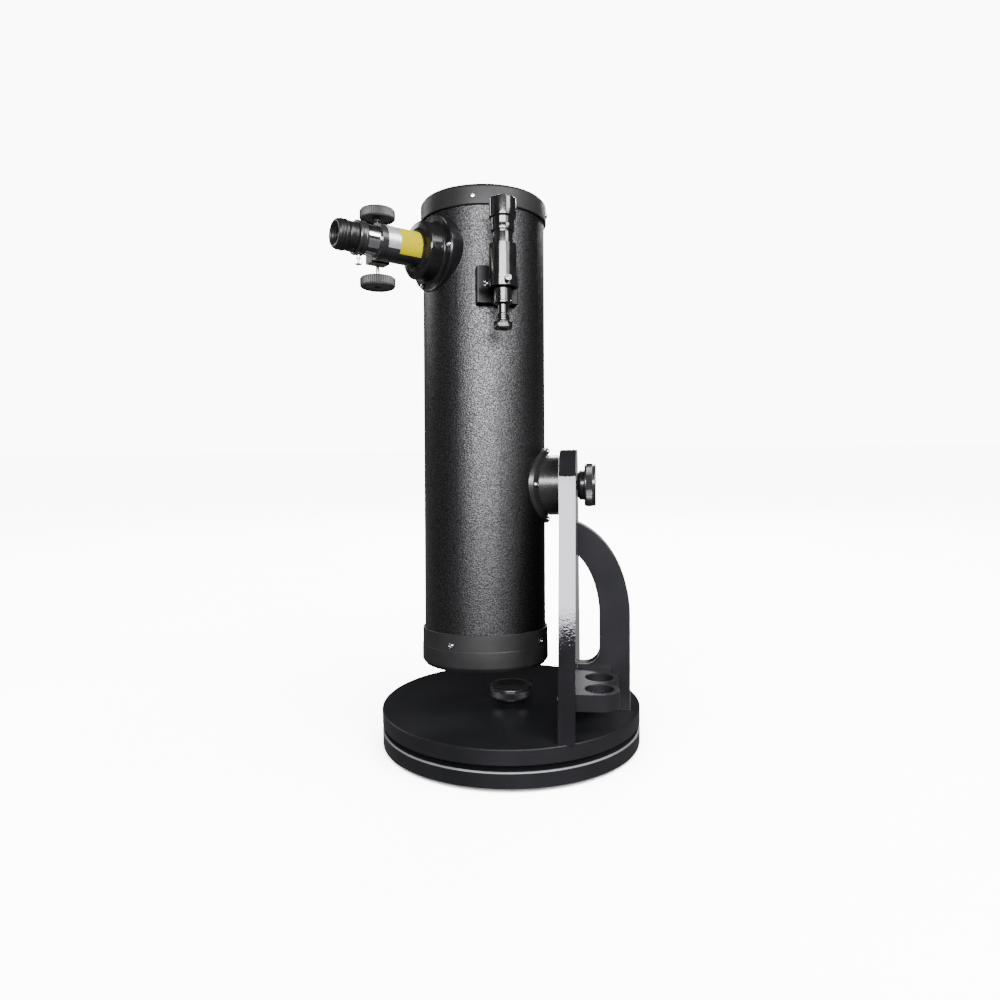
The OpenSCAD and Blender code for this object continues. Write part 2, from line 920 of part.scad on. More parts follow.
module pinion_cover() {
    color("#101013")
        on_focuser()
            difference() {
                translate([-pinion_block_x + 1, body_wall_y - 3, pinion_rho - 11])
                    cube([2 * pinion_block_x - 2, 2.9, 22]);
                for (side = [-1, 1])
                    translate([(pinion_block_x - 5) * side, body_wall_y - 1.8, pinion_rho])
                        rotate([90, 0, 0])
                            cylinder(r = 2.6, h = 3);
            }
}

module drawtube() {
    color("#c8c8ca")
        on_focuser()
            difference() {
                translate([0, 0, draw_end - draw_l])
                    cylinder(r = draw_r, h = draw_l);
                translate([0, 0, draw_end - draw_l - over])
                    cylinder(r = eyepiece_bore_r, h = draw_l + 2 * over);
                translate([-2.3, -draw_r - over, draw_end - draw_l - over])
                    cube([4.6, draw_flat + over, draw_l - 10 + over]);
            }
}

module drawtube_collar() {
    color("#141417")
        on_focuser()
            difference() {
                translate([0, 0, draw_end])
                    rotate_extrude()
                        polygon([[eyepiece_bore_r, 0], [draw_r + 1, 0], [draw_r + 2.2, 1.2],
                            [draw_r + 2.2, collar_l - 2], [draw_r + 1.4, collar_l],
                            [eyepiece_bore_r, collar_l]]);
                translate([0, 0, draw_end + collar_l / 2])
                    rotate([0, 90, 0])
                        cylinder(r = screw_r + fit, h = 30);
            }
}

module focus_rack() {
    teeth = floor((draw_l - 16) / tooth_pitch);
    base_y = -draw_r + draw_flat;
    tip_y = base_y - rack_t;
    color("#b8a060")
        on_focuser()
            translate([0, 0, pinion_rho])
                difference() {
                    translate([-2.2, tip_y, draw_end - draw_l + 2 - pinion_rho])
                        cube([4.4, rack_t, draw_l - 12.2]);
                    for (i = [-teeth:teeth])
                        translate([-3, tip_y, i * tooth_pitch])
                            rotate([90, 0, 90])
                                linear_extrude(height = 6)
                                    polygon([[-over, -tooth_pitch * 0.42],
                                        [2 * gear_module, -tooth_pitch * 0.2],
                                        [2 * gear_module, tooth_pitch * 0.2], [-over, tooth_pitch * 0.42]]);
                }
}

module pinion_shaft() {
    shaft_half = focus_knob_off + focus_knob_h - 4;
    color("#c9b878")
        on_focuser()
            translate([0, pinion_y, pinion_rho])
                rotate([0, 90, 0]) {
                    translate([0, 0, -shaft_half])
                        cylinder(r = pinion_shaft_r, h = 2 * shaft_half);
                    translate([0, 0, -2.2])
                        linear_extrude(height = 4.4)
                            for (i = [0:pinion_teeth - 1])
                                rotate(360 * i / pinion_teeth)
                                    polygon([[0, -0.62], [pitch_r - gear_module, -0.62],
                                        [pitch_r + gear_module * 0.7, -0.22],
                                        [pitch_r + gear_module * 0.7, 0.22],
                                        [pitch_r - gear_module, 0.62], [0, 0.62]]);
                }
}

module focus_knobs() {
    color("#6e6e70")
        on_focuser()
            translate([0, pinion_y, pinion_rho])
                for (side = [-1, 1])
                    rotate([0, 90 * side, 0])
                        translate([0, 0, focus_knob_off])
                            rotate_extrude()
                                polygon([[pinion_shaft_r + fit, -3], [7, -3], [7, 1.5],
                                    [focus_knob_r - 3, 1.5], [focus_knob_r - 3, 0], [focus_knob_r - 1, 0],
                                    [focus_knob_r, 1], [focus_knob_r, focus_knob_h - 2.5],
                                    [focus_knob_r - 2.5, focus_knob_h], [0, focus_knob_h],
                                    [0, focus_knob_h - 3.5], [pinion_shaft_r + fit, focus_knob_h - 3.5]]);
}

module eyepiece_screw() {
    color("#c9c9cb")
        on_focuser()
            translate([0, 0, draw_end + collar_l / 2])
                rotate([0, 90, 0]) {
                    translate([0, 0, barrel_r + 0.15])
                        cylinder(r = screw_r, h = 10);
                    translate([0, 0, draw_r + 6.2])
                        rotate_extrude()
                            polygon([[0, 0], [3.6, 0], [4.4, 0.8], [4.4, 6.4], [3.6, 7.2], [0, 7.2]]);
                }
}

module eyepiece_barrel() {
    color("#d4d4d6")
        on_focuser()
            translate([0, 0, draw_end + collar_l + 0.3 - 26])
                pipe(barrel_r, 14, 26);
}

module eyepiece_body() {
    color("#131316")
        on_focuser()
            translate([0, 0, draw_end + collar_l + 0.3])
                rotate_extrude()
                    polygon([[0, 2], [14, 2], [14, 0], [17, 0], [17.4, 0.6], [17.4, 10], [16, 11.5],
                        [16, 19.5], [5.2, 19.5], [4.6, 18], [0, 18]]);
}

module eyecup() {
    color("#101012")
        on_focuser()
            translate([0, 0, draw_end + collar_l + 0.3])
                rotate_extrude()
                    polygon([[16 + fit, 12], [17.8, 12], [18.2, 13], [18.2, 16.6], [17.4, 17.6], [18, 18.6],
                        [17.8, 21.5], [15.8, 24.4], [13, 24.8], [11, 23.6], [9.5, 20.6], [8.8, 19.7],
                        [16 + fit, 19.7]]);
}

module at_shoe_screws() {
    on_tube()
        rotate([0, 0, find_turn])
            for (s = [shoe_s + 8, shoe_s + shoe_l - 8])
                translate([tube_r + 2, 0, s])
                    rotate([0, 90, 0])
                        children();
}

// Shoe: a saddle on the tube with a dovetail channel along it
module finder_shoe() {
    color("#121215")
        difference() {
            on_tube()
                rotate([0, 0, find_turn])
                    translate([0, 0, shoe_s])
                        difference() {
                            intersection() {
                                translate([50, -shoe_w / 2, 0])
                                    cube([shoe_top - 50, shoe_w, shoe_l]);
                                cylinder(r = shoe_top + 3, h = shoe_l);
                            }
                            translate([0, 0, 2.5])
                                linear_extrude(height = shoe_l)
                                    polygon([[tube_r + 4, -11], [shoe_top + over, -7], [shoe_top + over, 7],
                                        [tube_r + 4, 11]]);
                        }
            on_tube()
                cylinder(r = tube_r + fit, h = front_s);
            at_shoe_screws() {
                translate([0, 0, -10])
                    cylinder(r = screw_r + fit, h = 20);
                cylinder(r = head_r + gap, h = 4);
            }
            on_shoe_screw()
                translate([0, 0, -over])
                    cylinder(r = screw_r + fit, h = 30);
        }
}

module shoe_mount_screws() {
    color("#c9c9cb")
        at_shoe_screws()
            pan_screw(screw_r, 6, head_r, head_h);
}

// Headless side screw that locks the bracket's foot in the shoe
module on_shoe_screw() {
    on_tube()
        rotate([0, 0, find_turn])
            translate([87.5, -9.6, shoe_s + shoe_l / 2])
                rotate([90, 0, 0])
                    children();
}

module shoe_screw() {
    color("#c9c9cb")
        on_shoe_screw()
            difference() {
                cylinder(r = screw_r, h = grub_l);
                translate([0, 0, grub_l - 2])
                    cylinder(r = 1.1, h = 3, $fn = 6);
            }
}

module finder_bracket() {
    foot_s = shoe_s + 2.8;
    color("#131316")
        difference() {
            union() {
                on_tube()
                    rotate([0, 0, find_turn])
                        translate([0, 0, foot_s]) {
                            linear_extrude(height = shoe_l - 3)
                                polygon([[tube_r + 4.4, -10.4], [shoe_top, -6.6], [find_rho - 12, -5],
                                    [find_rho - 12, 5], [shoe_top, 6.6], [tube_r + 4.4, 10.4]]);
                        }
                on_finder()
                    translate([0, 0, find_barrel_s]) {
                        cylinder(r = find_barrel_r, h = find_barrel_l);
                        cylinder(r = find_barrel_r + 1.2, h = 12);
                    }
            }
            on_finder()
                translate([0, 0, find_barrel_s - over])
                    cylinder(r = 13.8, h = find_barrel_l + 2 * over);
            at_adjusters()
                cylinder(r = screw_r + fit, h = 40);
        }
}

module finder_o_ring() {
    color("#0c0c0c")
        on_finder()
            translate([0, 0, find_barrel_s + find_barrel_l - 4])
                pipe(13.7, find_tube_r + fit, 2.4);
}

// Adjusting screws around the barrel's lower end
module at_adjusters() {
    for (i = [0:2])
        at_adjuster(i)
            children();
}

module at_adjuster(i) {
    on_finder()
        translate([0, 0, adjuster_s])
            rotate([0, 0, adjuster_turns[i]])
                rotate([0, 90, 0])
                    children();
}

module finder_adjuster(i) {
    color("#d0d0d2")
        at_adjuster(i) {
            translate([0, 0, find_small_r + 0.2])
                cylinder(r = screw_r, h = 12.6);
            translate([0, 0, find_barrel_r + 1.4])
                cylinder(r = 3.4, h = 1.6);
            translate([0, 0, find_barrel_r + 3.4])
                rotate_extrude()
                    polygon([[0, 0], [3.4, 0], [4, 0.6], [4, 3.6], [3.4, 4.2], [0, 4.2]]);
        }
}

module finder_tube() {
    color("#131316")
        on_finder()
            difference() {
                rotate_extrude()
                    polygon([[0, 210], [10.9, 210], [10.9, 213], [find_small_r, 214], [find_small_r, 262],
                        [find_tube_r, 266], [find_tube_r, 294], [13.7, 294], [13.7, 309],
                        [16, 310], [16, 330.7], [15.4, 331.5], [0, 331.5]]);
                translate([0, 0, 200])
                    cylinder(r = 6 + fit, h = 30);
                translate([0, 0, 229])
                    cylinder(r = 9, h = 40);
                translate([0, 0, 268])
                    cylinder(r = 10.4, h = 40);
                translate([0, 0, 303])
                    cylinder(r = 12, h = 10);
                translate([0, 0, 312])
                    cylinder(r = 14, h = 30);
            }
}

module finder_lens() {
    color("#9db8c8")
        on_finder()
            translate([0, 0, 305])
                cylinder(r = 12 - fit, h = 6);
}

module finder_eyepiece() {
    color("#131316")
        on_finder()
            rotate_extrude()
                polygon([[0, 183.5], [4, 183.5], [6, 181], [10, 181], [11, 182.2], [11, 188.8],
                    [10, 189.8], [7.4, 190.2], [7.4, 197.6], [6.2, 198.4], [6, 200], [6, 226], [0, 226]]);
}

non_slip_ring();
ground_board();
azimuth_bolt();
azimuth_washer();
bearing_pads();
rub_ring();
azimuth_bush();
turntable_board();
board_screws();
side_arm();
carry_strut();
eyepiece_rack();
rack_screws();
altitude_bush();
azimuth_knob();
tube();
front_ring();
rear_ring();
ring_screws();
altitude_flange();
altitude_flange_screws();
altitude_washer();
altitude_stud();
altitude_knob();
mirror_cell();
mirror_pads();
primary_mirror();
mirror_clips();
collimation_screws();
collimation_springs();
spider();
secondary_holder();
secondary_mirror();
secondary_screws();
focuser_flange();
focuser_flange_screws();
focuser_body();
yellow_band();
silver_band();
pinion_cover();
drawtube();
drawtube_collar();
focus_rack();
pinion_shaft();
focus_knobs();
eyepiece_screw();
eyepiece_barrel();
eyepiece_body();
eyecup();
finder_shoe();
shoe_mount_screws();
shoe_screw();
finder_bracket();
finder_o_ring();
finder_adjuster(0);  // finder_adjuster_1
finder_adjuster(1);  // finder_adjuster_2
finder_adjuster(2);  // finder_adjuster_3
finder_tube();
finder_lens();
finder_eyepiece();
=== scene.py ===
"""Looks of a tabletop Dobsonian telescope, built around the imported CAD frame. Metres, CAD row frame."""
import json
import math

import bmesh
import bpy
from mathutils import Matrix, Vector

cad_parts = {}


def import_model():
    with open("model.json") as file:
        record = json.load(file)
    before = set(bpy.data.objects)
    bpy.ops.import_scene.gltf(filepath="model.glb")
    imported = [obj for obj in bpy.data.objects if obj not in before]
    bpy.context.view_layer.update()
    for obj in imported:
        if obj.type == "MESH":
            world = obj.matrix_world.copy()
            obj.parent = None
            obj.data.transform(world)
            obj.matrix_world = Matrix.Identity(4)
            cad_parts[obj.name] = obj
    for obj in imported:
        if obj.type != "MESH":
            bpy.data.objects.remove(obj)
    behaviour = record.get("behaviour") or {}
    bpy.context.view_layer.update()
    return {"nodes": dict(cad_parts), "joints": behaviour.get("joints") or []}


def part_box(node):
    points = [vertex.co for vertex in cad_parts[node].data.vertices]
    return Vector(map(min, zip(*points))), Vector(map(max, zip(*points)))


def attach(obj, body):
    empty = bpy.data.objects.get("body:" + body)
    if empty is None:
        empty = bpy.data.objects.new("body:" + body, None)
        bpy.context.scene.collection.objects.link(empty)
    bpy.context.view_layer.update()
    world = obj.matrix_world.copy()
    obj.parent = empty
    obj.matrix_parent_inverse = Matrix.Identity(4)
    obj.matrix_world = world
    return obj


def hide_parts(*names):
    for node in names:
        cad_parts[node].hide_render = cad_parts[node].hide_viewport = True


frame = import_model()
MM = 0.001
TURN = 2 * math.pi
SMOOTH_ANGLE = 35
JOINTS = {joint["name"]: joint for joint in frame["joints"]}


# ---------------------------------------------------------------- places
def axes(origin, z_axis, x_axis):
    """A matrix with its own Z along z_axis and X as near as can be to x_axis."""
    z = Vector(z_axis).normalized()
    x = Vector(x_axis)
    x = (x - z * x.dot(z)).normalized()
    y = z.cross(x)
    rows = Matrix((x, y, z)).transposed().to_4x4()
    return Matrix.Translation(Vector(origin)) @ rows


def turned(angle):
    """A turn around Z, in degrees."""
    return Matrix.Rotation(math.radians(angle), 4, "Z")


def at(x=0, y=0, z=0):
    """A move, in millimetres."""
    return Matrix.Translation(Vector((x, y, z)) * MM)


ALTITUDE = Vector(JOINTS["altitude_tilt"]["pos_m"])
UP_TUBE = Vector(JOINTS["finder_slide"]["axis"])
FOCUS_OUT = Vector(JOINTS["focus_slide"]["axis"])
PINION = Vector(JOINTS["focus_knob_turn"]["pos_m"])
# Places with Z along the tube, out of the focuser and along the finder
TUBE = axes(ALTITUDE, UP_TUBE, (1, 0, 0))
FOCUSER = axes(ALTITUDE + UP_TUBE * (PINION - ALTITUDE).dot(UP_TUBE), FOCUS_OUT, -UP_TUBE)
ADJUSTER = JOINTS["adjuster_1_turn"]
ADJUSTER_REACH = 18  # from the finder's axis to the joint's place on its screw
finder_offset = Vector(ADJUSTER["pos_m"]) - ADJUSTER_REACH * MM * Vector(ADJUSTER["axis"]) - ALTITUDE
finder_offset -= UP_TUBE * finder_offset.dot(UP_TUBE)
FINDER = axes(ALTITUDE + finder_offset, UP_TUBE, finder_offset)
Z_TO_X = Matrix.Rotation(math.radians(90), 4, "Y")


# ---------------------------------------------------------------- mesh helpers
def rounded(profile, steps=4):
    """Fillets the corners of a closed outline of points (r, z, fillet, rib). The last two may be left out."""
    points = []
    full = [tuple(p) + (0,) * (4 - len(p)) for p in profile]
    for i, (r, z, fillet, rib) in enumerate(full):
        here = Vector((r, z))
        before = Vector(full[i - 1][:2]) - here
        after = Vector(full[(i + 1) % len(full)][:2]) - here
        if not fillet or before.length < 1e-6 or after.length < 1e-6:
            points.append((r, z, rib))
            continue
        half = before.angle(after) / 2
        cut = min(fillet / math.tan(half), before.length * 0.48, after.length * 0.48)
        start = here + before.normalized() * cut
        end = here + after.normalized() * cut
        for k in range(steps + 1):
            t = k / steps
            spot = start * (1 - t) ** 2 + here * 2 * t * (1 - t) + end * t ** 2
            points.append((spot.x, spot.y, rib))
    return points


def make_object(name, bm, smooth=SMOOTH_ANGLE):
    """Turns a bmesh into an object, smooth but for its corners sharper than that many degrees."""
    bmesh.ops.recalc_face_normals(bm, faces=bm.faces)
    mesh = bpy.data.meshes.new(name)
    bm.to_mesh(mesh)
    bm.free()
    mesh.polygons.foreach_set("use_smooth", [True] * len(mesh.polygons))
    mesh.set_sharp_from_angle(angle=math.radians(smooth))
    obj = bpy.data.objects.new(name, mesh)
    bpy.context.scene.collection.objects.link(obj)
    return obj


def lathe_mesh(bm, profile, matrix, segments=96, ribs=0, rib_depth=0.0):
    """Revolves a closed outline, given in millimetres, around Z. Points with a rib weight follow the ribs."""
    points = rounded(profile)
    rings = []
    for i in range(segments):
        angle = math.radians(360 * i / segments)
        wave = 0.5 - 0.5 * math.cos(ribs * angle) if ribs else 0
        ring = []
        for r, z, rib in points:
            radius = max(r - rib_depth * rib * wave, 0)
            spot = Vector((radius * math.cos(angle), radius * math.sin(angle), z)) * MM
            ring.append(bm.verts.new(matrix @ spot))
        rings.append(ring)
    total = len(points)
    made = [v for ring in rings for v in ring]
    for i in range(segments):
        near, far = rings[i], rings[(i + 1) % segments]
        for k in range(total):
            n = (k + 1) % total
            if points[k][0] < 1e-6 and points[n][0] < 1e-6:
                continue
            bm.faces.new((near[k], far[k], far[n], near[n]))
    bmesh.ops.remove_doubles(bm, verts=made, dist=1e-7)


def lathe(name, profile, matrix, **options):
    """A turned piece of its own, from an outline as in lathe_mesh."""
    bm = bmesh.new()
    lathe_mesh(bm, profile, matrix, **options)
    return make_object(name, bm)


def cut(obj, cutter):
    """Takes cutter away from obj for good, and removes cutter."""
    modifier = obj.modifiers.new("cut", "BOOLEAN")
    modifier.operation = "DIFFERENCE"
    modifier.solver = "EXACT"
    modifier.object = cutter
    graph = bpy.context.evaluated_depsgraph_get()
    mesh = bpy.data.meshes.new_from_object(obj.evaluated_get(graph))
    obj.modifiers.clear()
    old = obj.data
    obj.data = mesh
    bpy.data.meshes.remove(old)
    bpy.data.objects.remove(cutter)
    mesh.set_sharp_from_angle(angle=math.radians(SMOOTH_ANGLE))


# ---------------------------------------------------------------- materials
class Nodes:
    """Short names for building one node material."""

    def __init__(self, name):
        self.material = bpy.data.materials.new(name)
        self.material.use_nodes = True
        self.tree = self.material.node_tree
        self.shader = self.tree.nodes["Principled BSDF"]
        self.place = self.tree.nodes.new("ShaderNodeTexCoord").outputs["Object"]

    def add(self, kind, **values):
        node = self.tree.nodes.new(kind)
        for key, value in values.items():
            if hasattr(node, key):
                setattr(node, key, value)
            else:
                self.feed(node.inputs[key.replace("_", " ")], value)
        return node

    def feed(self, socket, value):
        if isinstance(value, bpy.types.NodeSocket):
            self.tree.links.new(value, socket)
        else:
            socket.default_value = value

    def noise(self, scale, detail=3.0, roughness=0.5, stretch=None):
        place = self.place
        if stretch:
            place = self.add("ShaderNodeMapping", Vector=place, Scale=stretch).outputs["Vector"]
        return self.add("ShaderNodeTexNoise", Vector=place, Scale=scale, Detail=detail,
                        Roughness=roughness).outputs["Fac"]

    def voronoi(self, scale):
        return self.add("ShaderNodeTexVoronoi", Vector=self.place, Scale=scale).outputs["Distance"]

    def spread(self, value, low, high, to_low=0.0, to_high=1.0):
        node = self.add("ShaderNodeMapRange", Value=value)
        for name, number in (("From Min", low), ("From Max", high), ("To Min", to_low), ("To Max", to_high)):
            node.inputs[name].default_value = number
        return node.outputs["Result"]

    def ramp(self, value, *stops):
        node = self.add("ShaderNodeValToRGB", Fac=value)
        elements = node.color_ramp.elements
        while len(elements) < len(stops):
            elements.new(0.5)
        for element, (spot, colour) in zip(elements, stops):
            element.position = spot
            element.color = (*colour, 1)
        return node.outputs["Color"]

    def math(self, operation, a, b):
        node = self.add("ShaderNodeMath", operation=operation)
        self.feed(node.inputs[0], a)
        self.feed(node.inputs[1], b)
        return node.outputs["Value"]

    def bump(self, height, strength, distance):
        node = self.add("ShaderNodeBump", Height=height, Strength=strength, Distance=distance)
        return node.outputs["Normal"]

    def finish(self, **values):
        for key, value in values.items():
            self.feed(self.shader.inputs[key.replace("_", " ")], value)
        return self.material


def grey(level, tint=0.0):
    """A grey, bluer by tint."""
    return (level, level, level * (1 + tint))


def hammered_paint():
    """Hammered paint: metallic black with wrinkled cells about 1.5 mm wide, brighter on their ridges; that
    colour follows the wrinkles' height, a painted highlight on the ridges and painted shade in the hollows.
    """
    n = Nodes("tube_hammered_paint")
    warp = n.add("ShaderNodeTexNoise", Vector=n.place, Scale=260, Detail=2.0).outputs["Color"]
    moved = n.add("ShaderNodeVectorMath", operation="MULTIPLY_ADD")
    n.feed(moved.inputs[0], warp)
    moved.inputs[1].default_value = (0.0022, 0.0022, 0.0022)
    n.feed(moved.inputs[2], n.place)
    cells = n.add("ShaderNodeTexVoronoi", feature="SMOOTH_F1", Vector=moved.outputs["Vector"], Scale=700,
                  Smoothness=0.4).outputs["Distance"]
    grain = n.noise(1500, 2.0, 0.6)
    height = n.math("ADD", n.spread(cells, 0.15, 0.75), n.math("MULTIPLY", grain, 0.35))
    cloud = n.noise(9, 3.0)
    # colour follows the wrinkles' height: painted shade in the hollows, painted highlight on the ridges
    colour = n.ramp(height, (0.20, grey(0.012, 0.03)), (0.65, grey(0.034, 0.03)), (1.0, grey(0.074, 0.02)))
    rough = n.math("ADD", n.spread(height, 0.2, 1.1, 0.48, 0.38), n.spread(cloud, 0.3, 0.7, -0.03, 0.03))
    return n.finish(Base_Color=colour, Metallic=1.0, Roughness=rough, Normal=n.bump(height, 0.8, 0.00018))


def satin_black(name, level, rough, grain_scale, bump, specular=0.5):
    """Matt to satin black: a fine grain under slow changes of shade and roughness."""
    n = Nodes(name)
    grain = n.noise(grain_scale, 3.0, 0.6)
    cloud = n.noise(25, 4.0)
    colour = n.ramp(cloud, (0.3, grey(level * 0.8)), (0.7, grey(level * 1.3, 0.04)))
    roughness = n.math("ADD", n.spread(grain, 0.3, 0.7, rough - 0.05, rough + 0.05),
                       n.spread(cloud, 0.3, 0.7, -0.025, 0.025))
    return n.finish(Base_Color=colour, Roughness=roughness, Specular_IOR_Level=specular,
                    Normal=n.bump(grain, bump, 0.0002))


def board_lacquer(name, low, high, wobble, specular=0.5):
    """Black lacquer sprayed on board: fine orange peel with a little dust in it. low and high are the ends of
    its roughness, and wobble is the strength of the peel."""
    n = Nodes(name)
    peel = n.noise(420, 2.0, 0.5)
    cloud = n.noise(14, 4.0)
    dust = n.spread(n.voronoi(190), 0.0, 0.05, 1.0, 0.0)
    colour = n.ramp(n.math("ADD", cloud, n.math("MULTIPLY", dust, 0.25)),
                    (0.30, grey(0.0060, 0.1)), (0.72, grey(0.0100, 0.15)), (1.0, grey(0.03)))
    rough = n.math("ADD", n.spread(cloud, 0.3, 0.7, low, high), n.math("MULTIPLY", dust, 0.2))
    return n.finish(Base_Color=colour, Roughness=rough, Specular_Tint=(0.95, 0.93, 1.0, 1.0),
                    Specular_IOR_Level=specular, Normal=n.bump(peel, wobble, 0.00025))


def gloss_black(name, level, rough, coat=0.25, specular=0.5):
    """Gloss black paint or plastic, with smears in its shine."""
    n = Nodes(name)
    peel = n.noise(260, 2.0)
    smear = n.noise(45, 5.0, 0.6)
    colour = n.ramp(smear, (0.35, grey(level * 0.8)), (0.75, grey(level * 1.4, 0.12)))
    roughness = n.spread(smear, 0.3, 0.75, rough - 0.03, rough + 0.09)
    return n.finish(Base_Color=colour, Roughness=roughness, Coat_Weight=coat, Coat_Roughness=0.05,
                    Specular_IOR_Level=specular, Normal=n.bump(peel, 0.05, 0.0002))


def rubber(name, level, rough, specular=0.5):
    """Moulded rubber: a fine grain, a little lighter where it is worn."""
    n = Nodes(name)
    grain = n.noise(1900, 3.0, 0.65)
    wear = n.noise(60, 4.0)
    colour = n.ramp(wear, (0.3, grey(level * 0.78)), (0.75, grey(level * 1.25)))
    return n.finish(Base_Color=colour, Specular_IOR_Level=specular,
                    Roughness=n.spread(grain, 0.3, 0.7, rough - 0.08, rough + 0.1),
                    Normal=n.bump(grain, 0.35, 0.00018))


def metal(name, colour, rough, brushed=(1, 1, 1), tint=None):
    """Bare or plated metal with fine tool marks, stretched by brushed. tint is the shade of its smears."""
    n = Nodes(name)
    lines = n.noise(900, 3.0, 0.6, stretch=brushed)
    smear = n.noise(70, 4.0)
    shade = tint or tuple(c * 0.82 for c in colour)
    base = n.ramp(smear, (0.3, shade), (0.7, colour))
    roughness = n.math("ADD", n.spread(lines, 0.3, 0.7, rough - 0.04, rough + 0.05),
                       n.spread(smear, 0.3, 0.7, -0.02, 0.04))
    return n.finish(Base_Color=base, Metallic=1.0, Roughness=roughness, Normal=n.bump(lines, 0.08, 0.0001))


def film(name, low, high, rough, metallic, specular=0.5):
    """Thin printed film stuck round the focuser, slightly rippled."""
    n = Nodes(name)
    ripple = n.noise(120, 3.0)
    grain = n.noise(2200, 2.0)
    colour = n.ramp(ripple, (0.3, low), (0.7, high))
    return n.finish(Base_Color=colour, Metallic=metallic, Specular_IOR_Level=specular,
                    Roughness=n.spread(grain, 0.3, 0.7, rough - 0.05, rough + 0.05),
                    Normal=n.bump(ripple, 0.12, 0.0003))


def plastic(name, low, high, rough):
    """Pale engineering plastic with a faint cloud between two shades."""
    n = Nodes(name)
    cloud = n.noise(90, 4.0)
    grain = n.noise(1400, 2.0)
    return n.finish(Base_Color=n.ramp(cloud, (0.3, low), (0.7, high)),
                    Roughness=n.spread(grain, 0.3, 0.7, rough - 0.06, rough + 0.06),
                    Normal=n.bump(grain, 0.1, 0.0001))


def lens_glass():
    n = Nodes("coated_lens_glass")
    dust = n.noise(300, 5.0, 0.7)
    return n.finish(Base_Color=n.ramp(dust, (0.3, (0.80, 0.86, 0.95)), (0.8, (0.90, 0.93, 0.98))),
                    Roughness=n.spread(dust, 0.5, 0.8, 0.01, 0.08), Transmission_Weight=1.0, IOR=1.52,
                    Coat_Weight=0.6, Coat_Tint=(0.45, 0.55, 1.0, 1.0))


def mirror_coating():
    n = Nodes("aluminised_mirror")
    dust = n.noise(160, 6.0, 0.75)
    specks = n.spread(n.voronoi(240), 0.0, 0.05, 1.0, 0.0)
    film_rough = n.math("ADD", n.spread(dust, 0.55, 0.85, 0.01, 0.10), n.math("MULTIPLY", specks, 0.25))
    return n.finish(Base_Color=n.ramp(dust, (0.4, (0.93, 0.94, 0.95)), (0.9, (0.82, 0.83, 0.84))),
                    Metallic=1.0, Roughness=film_rough)


def cork():
    n = Nodes("cork_pad")
    crumbs = n.voronoi(900)
    return n.finish(Base_Color=n.ramp(crumbs, (0.1, (0.20, 0.11, 0.05)), (0.6, (0.48, 0.31, 0.17))),
                    Roughness=n.spread(crumbs, 0, 0.6, 0.8, 0.95), Normal=n.bump(crumbs, 0.5, 0.0003))


PAINT = {
    "tube": hammered_paint(),
    "ring": satin_black("end_ring_satin_black", 0.010, 0.48, 1500, 0.12, 0.24),
    "inner": satin_black("flat_black_inside", 0.010, 0.62, 900, 0.3),
    "board": board_lacquer("board_black_lacquer", 0.035, 0.06, 0.20),
    "deck": board_lacquer("deck_satin_lacquer", 0.33, 0.40, 0.10, 0.22),
    # lighter lacquer for the rounded edges of the strut and ground board: a painted highlight along those
    # edges
    "edge_highlight": satin_black("lacquer_painted_edge_highlight", 0.13, 0.34, 900, 0.2),
    "knob": gloss_black("knob_gloss_black", 0.010, 0.22),
    "shoe": gloss_black("shoe_gloss_black", 0.006, 0.30, 0.0, 0.10),
    "flange": gloss_black("focuser_gloss_black", 0.006, 0.17, 0.08, 0.30),
    "cast": satin_black("cast_satin_black", 0.012, 0.26, 1200, 0.12),
    "finder": gloss_black("finder_gloss_black", 0.006, 0.11),
    "grip": rubber("focus_knob_grey_rubber", 0.032, 0.48, 0.4),
    "soft": rubber("eyecup_black_rubber", 0.006, 0.38, 0.3),
    "barrel": satin_black("eyepiece_satin_black", 0.006, 0.34, 1500, 0.08, 0.35),
    "foot": rubber("grip_ring_rubber", 0.015, 0.75),
    "screw": metal("plated_screw", (0.80, 0.80, 0.80), 0.18, tint=(0.60, 0.60, 0.62)),
    "zinc": metal("zinc_plate", (0.62, 0.63, 0.64), 0.32),
    "chrome": metal("polished_chrome", (0.74, 0.74, 0.75), 0.10, brushed=(1, 1, 0.15)),
    "dark_chrome": metal("black_chrome", (0.26, 0.26, 0.27), 0.20),
    "brass": metal("machined_brass", (0.86, 0.77, 0.55), 0.22, tint=(0.66, 0.56, 0.34)),
    "cell": metal("cast_aluminium", (0.50, 0.50, 0.52), 0.45),
    "yellow": film("plain_yellow_film", (0.29, 0.245, 0.0), (0.32, 0.27, 0.0), 0.70, 0.0, 0.0),
    "silver": film("plain_silver_film", (0.55, 0.57, 0.60), (0.72, 0.74, 0.77), 0.30, 0.75),
    "slick": plastic("slick_pad_plastic", (0.74, 0.74, 0.70), (0.84, 0.84, 0.80), 0.35),
    "nylon": plastic("bush_nylon", (0.62, 0.58, 0.46), (0.74, 0.70, 0.58), 0.42),
    "laminate": satin_black("rub_ring_laminate", 0.020, 0.34, 700, 0.3),
    "glass": lens_glass(),
    "mirror": mirror_coating(),
    "cork": cork(),
}


def paint(obj, name, body=None, replaces=()):
    """Gives a piece its material, unless it has one, and says what it rides on and what it
    stands for."""
    if not obj.data.materials:
        obj.data.materials.append(PAINT[name])
    if body:
        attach(obj, body)
    if replaces:
        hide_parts(*replaces)
    return obj


def paint_node(node, name):
    """A CAD node that keeps its own shape gets a better material."""
    obj = frame["nodes"][node]
    if not obj.material_slots:
        obj.data.materials.append(None)
    for material_slot in obj.material_slots:
        material_slot.material = PAINT[name]


